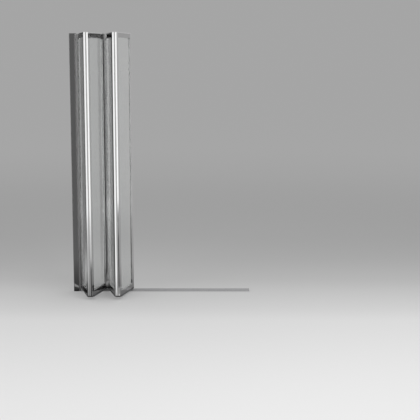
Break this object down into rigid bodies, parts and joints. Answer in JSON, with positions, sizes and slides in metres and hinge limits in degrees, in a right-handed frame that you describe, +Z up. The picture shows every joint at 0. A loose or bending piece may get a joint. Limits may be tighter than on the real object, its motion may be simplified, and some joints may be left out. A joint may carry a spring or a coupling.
{
  "type": "folding bath screen",
  "caption": "Framed glass bath screen in hinged panels that fold in a zigzag against the wall or open out over a low water-stop strip on the bath's rim.",
  "frame": {"origin": "on the wall behind the wall channel, on the line that the opened panels make, level with the top of the bath's rim", "axes": "+X out from the wall along the bath, +Y across the rim into the bath, +Z up"},
  "size_m": [0.9774, 0.2428, 1.418],
  "materials": {
    "profile_metal": "bright polished",
    "safety_glass": "clear",
    "gasket_rubber": "matt",
    "seal_rubber": "matt",
    "cap_plastic": "satin",
    "cover_plastic": "gloss",
    "screw_steel": "satin",
    "rod_steel": "satin",
    "washer_nylon": "satin",
    "strip_plastic": "satin",
    "tape_foam": "matt"
  },
  "bodies": {
    "wall_side": {"wall_channel": "profile_metal", "wall_jamb": "profile_metal", "jamb_lock_screws": "screw_steel", "lock_screw_covers": "cover_plastic", "wall_top_cap": "profile_metal", "wall_foot_plug": "cap_plastic", "rim_strip": "strip_plastic", "rim_strip_end_cap": "strip_plastic", "rim_strip_tape": "tape_foam", "hinge_1_rod": "rod_steel", "hinge_1_washers": "washer_nylon"},
    "panel_1": {"panel_1_glass": "safety_glass", "panel_1_hinge_stile": "profile_metal", "panel_1_lead_stile": "profile_metal", "panel_1_top_rail": "profile_metal", "panel_1_bottom_rail": "profile_metal", "panel_1_gasket": "gasket_rubber", "panel_1_bottom_seal": "seal_rubber", "panel_1_frame_screws": "screw_steel", "panel_1_screw_plugs": "profile_metal", "panel_1_end_caps": "cap_plastic", "hinge_2_rod": "rod_steel", "hinge_2_washers": "washer_nylon"},
    "panel_2": {"panel_2_glass": "safety_glass", "panel_2_hinge_stile": "profile_metal", "panel_2_lead_stile": "profile_metal", "panel_2_top_rail": "profile_metal", "panel_2_bottom_rail": "profile_metal", "panel_2_gasket": "gasket_rubber", "panel_2_bottom_seal": "seal_rubber", "panel_2_frame_screws": "screw_steel", "panel_2_screw_plugs": "profile_metal", "panel_2_end_caps": "cap_plastic", "hinge_3_rod": "rod_steel", "hinge_3_washers": "washer_nylon"},
    "panel_3": {"panel_3_glass": "safety_glass", "panel_3_hinge_stile": "profile_metal", "panel_3_lead_stile": "profile_metal", "panel_3_top_rail": "profile_metal", "panel_3_bottom_rail": "profile_metal", "panel_3_gasket": "gasket_rubber", "panel_3_bottom_seal": "seal_rubber", "panel_3_frame_screws": "screw_steel", "panel_3_screw_plugs": "profile_metal", "panel_3_end_caps": "cap_plastic", "hinge_4_rod": "rod_steel", "hinge_4_washers": "washer_nylon"},
    "panel_4": {"panel_4_glass": "safety_glass", "panel_4_hinge_stile": "profile_metal", "panel_4_end_stile": "profile_metal", "panel_4_top_rail": "profile_metal", "panel_4_bottom_rail": "profile_metal", "panel_4_gasket": "gasket_rubber", "panel_4_bottom_seal": "seal_rubber", "panel_4_frame_screws": "screw_steel", "panel_4_screw_plugs": "profile_metal", "panel_4_end_caps": "cap_plastic", "panel_4_edge_seal": "seal_rubber"}
  },
  "joints": [
    {"name": "wall_hinge", "type": "hinge", "parent": "wall_side", "child": "panel_1", "pos_m": [0.0394, -0.0065, 0.70775], "axis": [0, 0, 1], "range_deg": [-16, 73.9]},
    {"name": "first_fold_hinge", "type": "hinge", "parent": "panel_1", "child": "panel_2", "pos_m": [0.11623, -0.2258, 0.70775], "axis": [0, 0, -1], "range_deg": [0, 149.2]},
    {"name": "middle_fold_hinge", "type": "hinge", "parent": "panel_2", "child": "panel_3", "pos_m": [0.18767, -0.00469, 0.70775], "axis": [0, 0, 1], "range_deg": [0, 149.2]},
    {"name": "last_fold_hinge", "type": "hinge", "parent": "panel_3", "child": "panel_4", "pos_m": [0.2645, -0.22398, 0.70775], "axis": [0, 0, -1], "range_deg": [0, 149.2]}
  ]
}
